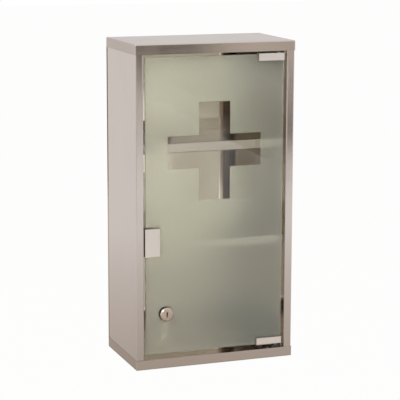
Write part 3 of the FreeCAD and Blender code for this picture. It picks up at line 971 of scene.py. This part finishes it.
@dataclass
class GlassDoor(SubAssembly):
    """The pane, and the milky film in the shallow step that the etching leaves round the cross.

    Attributes:
        film_from_y: Front of the film.
        film_to_y: Back of the film.
        film_inset: Gap between the film and the edge of the pane.
        film_margin: Gap between the film and what it is cut clear of.
        seats: Pieces on the back of the pane that the film is cut clear of.
        cut_past: How far a cutter reaches past the film.
        peg_length: Length of the round cutter.
    """

    title: str = "door"
    finishes: dict[str, Finish] = field(default_factory=lambda: {"door_glass": DOOR_GLASS})
    film_from_y: float = -0.16515
    film_to_y: float = -0.16505
    film_inset: float = 0.0006
    film_margin: float = 0.0004
    seats: tuple[str, ...] = ("upper_hinge_liner", "lower_hinge_liner", "pull_clip_liner")
    cut_past: float = 0.001
    peg_length: float = 0.01

    def build(self) -> None:
        """Dresses the pane and lays the film on it."""
        super().build()
        film = self.film()
        film.data.materials.append(FROST_FILM.material())
        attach(film, "door")
        log.info("%s: %s in %s", self.title, film.name, FROST_FILM.name)

    def film(self) -> bpy.types.Object:
        """Cuts the film from a thin sheet, clear of the cross, the clips and the lock.

        Returns:
            The film.
        """
        low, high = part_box("door_glass")
        inset = self.film_inset
        film = Bench.block("etched_film", (low[0] + inset, self.film_from_y, low[2] + inset),
                           (high[0] - inset, self.film_to_y, high[2] - inset))
        arm, span, middle = DOOR_GLASS.cross_arm, DOOR_GLASS.cross_span, DOOR_GLASS.cross_centre_z
        for width, height in ((arm, span), (span, arm)):
            Bench.cut(film, self.cutter((-width / 2, middle - height / 2), (width / 2, middle + height / 2)))
        for seat in self.seats:
            low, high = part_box(seat)
            Bench.cut(film, self.cutter((low[0], low[2]), (high[0], high[2])))
        low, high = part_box("lock_washer")
        centre = [(a + b) / 2 for a, b in zip(low, high)]
        radius = (high[0] - low[0]) / 2 + self.film_margin
        Bench.cut(film, Bench.peg("washer_seat", centre, radius, self.peg_length))
        return film

    def cutter(self, low: Pair, high: Pair) -> bpy.types.Object:
        """Makes a box through the film, a little larger than what it clears.

        Args:
            low: Lowest X and Z.
            high: Highest X and Z.

        Returns:
            The box.
        """
        gap = self.film_margin
        return Bench.block("film_cutter", (low[0] - gap, self.film_from_y - self.cut_past, low[1] - gap),
                           (high[0] + gap, self.film_to_y + self.cut_past, high[1] + gap))


@dataclass
class CamLock(SubAssembly):
    """The lock in the glass and its turning core."""

    title: str = "lock"
    finishes: dict[str, Finish] = field(default_factory=lambda: {
        "lock_barrel": NICKEL, "lock_gasket": RUBBER, "lock_washer": ZINC, "lock_nut": ZINC,
        "lock_plug": NICKEL, "lock_wafers": KEYWAY_SHADE_BRASS,
        "lock_cam": CAM_STEEL, "cam_washer": ZINC, "cam_screw": ZINC,
    })


@dataclass(frozen=True)
class Card:
    """A glowing card that only the steel and the glass see.

    Attributes:
        name: The card's name.
        centre: Its middle.
        half: Half its width and half its height.
        tone: How bright the steel sees it.
        fade: How far in from the sides, the bottom and the top its edge fades out, in metres.
        lean: How many degrees its right end leans down.
    """

    name: str
    centre: Triple
    half: Pair
    tone: Colour
    fade: Triple
    lean: float = 0.0


CARDS = (
    Card("tall_card", (1.24, -5.0, 0.625), (0.60, 0.945), (0.06, 0.05, 0.043), (0.12, 0.04, 0.1)),
    Card("leaning_card", (1.85, -5.05, -0.42), (0.42, 0.19), (0.17, 0.14, 0.115), (0.12, 0.12, 0.22), 28.0),
    Card("corner_card", (2.10, -5.04, -0.555), (0.16, 0.19), (0.17, 0.14, 0.115), (0.06, 0.01, 0.22), 28.0),
    Card("pale_card", (2.25, -5.1, 0.30), (0.75, 0.65), (0.86, 0.765, 0.68), (0.1, 0.1, 0.1)),
    Card("camera_side_card", (-2.0, -5.2, 0.32), (1.3, 1.38), (0.34, 0.29, 0.25), (0.1, 0.1, 0.1)),
    Card("left_high_card", (1.22, -4.98, -0.27), (0.225, 0.105), (0.56, 0.49, 0.44), (0.02, 0.06, 0.01)),
    Card("left_low_card", (1.22, -5.04, -0.38), (0.225, 0.38), (0.66, 0.59, 0.54), (0.02, 0.2, 0.01)),
    Card("right_back_card", (2.40, -5.03, -0.345), (0.193, 0.545), (0.55, 0.47, 0.42), (0.02, 0.2, 0.1)),
    Card("right_high_card", (2.40, -4.98, -0.35), (0.193, 0.10), (0.20, 0.165, 0.145), (0.02, 0.04, 0.06)),
    Card("right_low_card", (2.40, -4.97, -0.565), (0.193, 0.115), (0.17, 0.14, 0.12), (0.02, 0.01, 0.20)),
    Card("low_left_card", (1.755, -5.15, -0.86), (0.11, 0.18), (0.60, 0.56, 0.52), (0.10, 0.16, 0.12)),
    Card("low_right_card", (2.05, -5.15, -0.86), (0.10, 0.18), (0.45, 0.40, 0.35), (0.09, 0.16, 0.12)),
    Card("high_card", (1.78, -5.15, 1.15), (0.35, 0.25), (0.15, 0.125, 0.10), (0.08, 0.08, 0.08)),
)
"""What the flanges, the caps' front bands, the pane and the back panel mirror."""


@dataclass(frozen=True)
class Lamp:
    """A soft area lamp.

    Attributes:
        name: The lamp's name.
        place: Where it stands.
        aim: The point that it faces.
        size: Its width and height.
        watts: Its power.
        tone: Its colour.
        spread: How many degrees its light spreads, less than 180 with a grid on it.
        mirrored: Whether the steel mirrors it.
    """

    name: str
    place: Triple
    aim: Triple
    size: Pair
    watts: float
    tone: Colour
    spread: float = 180.0
    mirrored: bool = True


LAMPS = (
    Lamp("key", (-2.6, -1.6, 2.4), (0.0, -0.1, 0.0), (1.8, 1.8), 40.0, (1.0, 0.96, 0.92)),
    Lamp("strip", (-0.256, -0.45, 0.057), (-0.130, -0.165, 0.232), (0.32, 0.545), 0.88, (1.0, 0.87, 0.72),
         spread=24.3, mirrored=False),
)
"""The key lamp from the upper left, and a strip softbox with a grid for the frosted pane."""


@dataclass
class Studio:
    """The floor, the light and the camera at the photograph's place.

    Attributes:
        floor_z: Height of the floor, well below the cabinet, which hangs on a wall.
        floor_size: Length of the floor's sides.
        floor_tone: Colour of the floor.
        near_painted_shade_tone: Painted shade: how dark the steel and the glass see the floor near the cabinet.
        far_tone: How bright the steel sees it further away.
        floor_fade: Distances between which the painted shade near the cabinet turns into the far tone.
        floor_centre: Where those distances are measured from.
        floor_white: How much of the floor is seen as plain white.
        sky_tone: Colour of the light from all round.
        sky_strength: Strength of that light.
        deep_bounces: Bounces in all, and through glass.
        shallow_bounces: Bounces off metal, and through clear surfaces.
        camera_place: Where the camera stands.
        camera_yaw: Its turn about the vertical in degrees.
        camera_pitch: Its tilt from straight down in degrees.
        camera_roll: Its turn about its own axis in degrees.
        camera_lens: Its focal length in millimetres.
        camera_sensor: Its sensor's width in millimetres.
    """

    floor_z: float = -1.0
    floor_size: float = 40.0
    floor_tone: Colour = (0.90, 0.89, 0.87)
    near_painted_shade_tone: Colour = (0.55, 0.475, 0.41)
    far_tone: Colour = (1.0, 0.985, 0.97)
    floor_fade: Pair = (1.9, 4.7)
    floor_centre: Triple = (0.10, -0.25, 0.0)
    floor_white: float = 0.94
    sky_tone: Colour = (1.0, 0.97, 0.94)
    sky_strength: float = 0.8
    deep_bounces: int = 24
    shallow_bounces: int = 16
    camera_place: Triple = (-1.0152, -2.8558, 0.5553)
    camera_yaw: float = -20.155
    camera_pitch: float = 79.249
    camera_roll: float = 0.167
    camera_lens: float = 142.95
    camera_sensor: float = 36.0

    def build(self) -> None:
        """Makes everything round the object."""
        bpy.context.scene.view_settings.view_transform = "Standard"
        bpy.context.scene.cycles.max_bounces = self.deep_bounces
        bpy.context.scene.cycles.glossy_bounces = self.shallow_bounces
        bpy.context.scene.cycles.transmission_bounces = self.deep_bounces
        bpy.context.scene.cycles.transparent_max_bounces = self.shallow_bounces
        self.sky()
        self.floor()
        for spec in CARDS:
            self.card(spec)
        for spec in LAMPS:
            self.lamp(spec)
        self.camera()

    def white_share(self, pad: NodePad) -> Socket:
        """Makes the share of rays that see the background as white.

        Args:
            pad: The world's or material's tree.

        Returns:
            1 for camera, glossy and transmitted rays, and 0 for the rest.
        """
        path = pad.add("ShaderNodeLightPath")
        seen = pad.math("MAXIMUM", path.outputs["Is Camera Ray"], path.outputs["Is Glossy Ray"])
        return pad.math("MAXIMUM", seen, path.outputs["Is Transmission Ray"])

    def sky(self) -> None:
        """Makes a soft even world that shows as white."""
        world = bpy.data.worlds.new("studio")
        bpy.context.scene.world = world
        pad = NodePad.blank(world)
        soft = pad.add("ShaderNodeBackground", {"Color": opaque(self.sky_tone), "Strength": self.sky_strength})
        white = pad.add("ShaderNodeBackground", {"Color": opaque(WHITE), "Strength": 1.0})
        both = pad.add("ShaderNodeMixShader", {
            0: self.white_share(pad), 1: soft.outputs[0], 2: white.outputs[0]})
        pad.show(both.outputs[0], "ShaderNodeOutputWorld")

    def floor(self) -> None:
        """Makes the pale floor, which the steel and the glass see darker near the cabinet as painted shade."""
        bpy.ops.object.select_all(action="DESELECT")
        bpy.ops.mesh.primitive_plane_add(size=self.floor_size, location=(0.0, 0.0, self.floor_z))
        floor = bpy.context.object
        floor.name = "floor"
        made = bpy.data.materials.new("pale_floor")
        pad = NodePad.blank(made)
        matt = pad.add("ShaderNodeBsdfDiffuse", {"Color": opaque(self.floor_tone)})
        place = pad.add("ShaderNodeTexCoord").outputs["Object"]
        # Painted shade: rays off the steel and the glass see the floor darker near the cabinet, fading out with
        # distance.
        far = pad.add("ShaderNodeVectorMath", {0: place, 1: self.floor_centre}, operation="DISTANCE")
        reach = pad.ranged(far.outputs["Value"], *self.floor_fade, 0.0, 1.0)
        painted_shade_graded = pad.mixed(reach, opaque(self.near_painted_shade_tone), opaque(self.far_tone))
        straight = pad.add("ShaderNodeLightPath").outputs["Is Camera Ray"]
        shown = pad.mixed(straight, painted_shade_graded, opaque(WHITE))
        white = pad.add("ShaderNodeEmission", {"Color": shown, "Strength": 1.0})
        share = pad.math("MULTIPLY", self.white_share(pad), self.floor_white)
        both = pad.add("ShaderNodeMixShader", {0: share, 1: matt.outputs[0], 2: white.outputs[0]})
        pad.show(both.outputs[0])
        floor.data.materials.append(made)

    def card(self, spec: Card) -> None:
        """Stands a card in front of the cabinet, out of the camera's sight, for the steel to reflect.

        Args:
            spec: The card.
        """
        bpy.ops.object.select_all(action="DESELECT")
        turn = (math.pi / 2, math.radians(spec.lean), 0.0)
        bpy.ops.mesh.primitive_plane_add(size=2.0, location=spec.centre, rotation=turn)
        card = bpy.context.object
        card.name = spec.name
        card.scale = (*spec.half, 1.0)
        bpy.ops.object.transform_apply(location=True, rotation=True, scale=True)
        card.visible_camera = False
        card.visible_shadow = False
        card.visible_diffuse = False
        made = bpy.data.materials.new(spec.name)
        pad = NodePad.blank(made)
        glow = pad.add("ShaderNodeEmission", {"Color": opaque(spec.tone), "Strength": 1.0})
        gone = pad.add("ShaderNodeBsdfTransparent")
        both = pad.add("ShaderNodeMixShader", {
            0: self.cover(pad, spec), 1: gone.outputs[0], 2: glow.outputs[0]})
        pad.show(both.outputs[0])
        card.data.materials.append(made)

    def cover(self, pad: NodePad, spec: Card) -> Socket:
        """Makes the mask that fades a card's edges.

        Args:
            pad: The card's material tree.
            spec: The card.

        Returns:
            1 in the card's middle, down to 0 at its edges.
        """
        across, along, _ = pad.axes(pad.add("ShaderNodeTexCoord").outputs["UV"])
        sides = spec.fade[0] / (2 * spec.half[0])
        bottom, top = (length / (2 * spec.half[1]) for length in spec.fade[1:])
        level = pad.math("MULTIPLY", pad.ranged(across, 0.0, sides, 0.0, 1.0),
                         pad.ranged(across, 1.0 - sides, 1.0, 1.0, 0.0))
        upright = pad.math("MULTIPLY", pad.ranged(along, 0.0, bottom, 0.0, 1.0),
                           pad.ranged(along, 1.0 - top, 1.0, 1.0, 0.0))
        return pad.math("MULTIPLY", level, upright)

    def lamp(self, spec: Lamp) -> None:
        """Adds one lamp.

        Args:
            spec: The lamp.
        """
        data = bpy.data.lights.new(spec.name, "AREA")
        data.shape = "RECTANGLE"
        data.size, data.size_y = spec.size
        data.spread = math.radians(spec.spread)
        data.energy = spec.watts
        data.color = spec.tone
        lamp = bpy.data.objects.new(spec.name, data)
        bpy.context.scene.collection.objects.link(lamp)
        lamp.location = spec.place
        lamp.rotation_euler = (Vector(spec.aim) - Vector(spec.place)).to_track_quat("-Z", "Y").to_euler()
        lamp.visible_camera = False
        lamp.visible_transmission = False
        lamp.visible_glossy = spec.mirrored

    def camera(self) -> None:
        """Makes the camera at the photograph's place."""
        data = bpy.data.cameras.new("photo_camera")
        data.lens = self.camera_lens
        data.sensor_width = self.camera_sensor
        camera = bpy.data.objects.new("photo_camera", data)
        bpy.context.scene.collection.objects.link(camera)
        turn = Euler((math.radians(self.camera_pitch), 0.0, math.radians(self.camera_yaw))).to_matrix()
        roll = Matrix.Rotation(math.radians(self.camera_roll), 3, "Z")
        camera.matrix_world = Matrix.Translation(self.camera_place) @ (turn @ roll).to_4x4()
        bpy.context.scene.camera = camera


def main() -> None:
    """Builds the sub-assemblies and the studio in order."""
    logging.basicConfig(level=logging.INFO, format="%(name)s %(message)s")
    for part in (Casing(), Shelving(), Pivots(), Catch(), GlassDoor(), CamLock()):
        part.build()
    Studio().build()


if __name__ == "__main__":
    main()
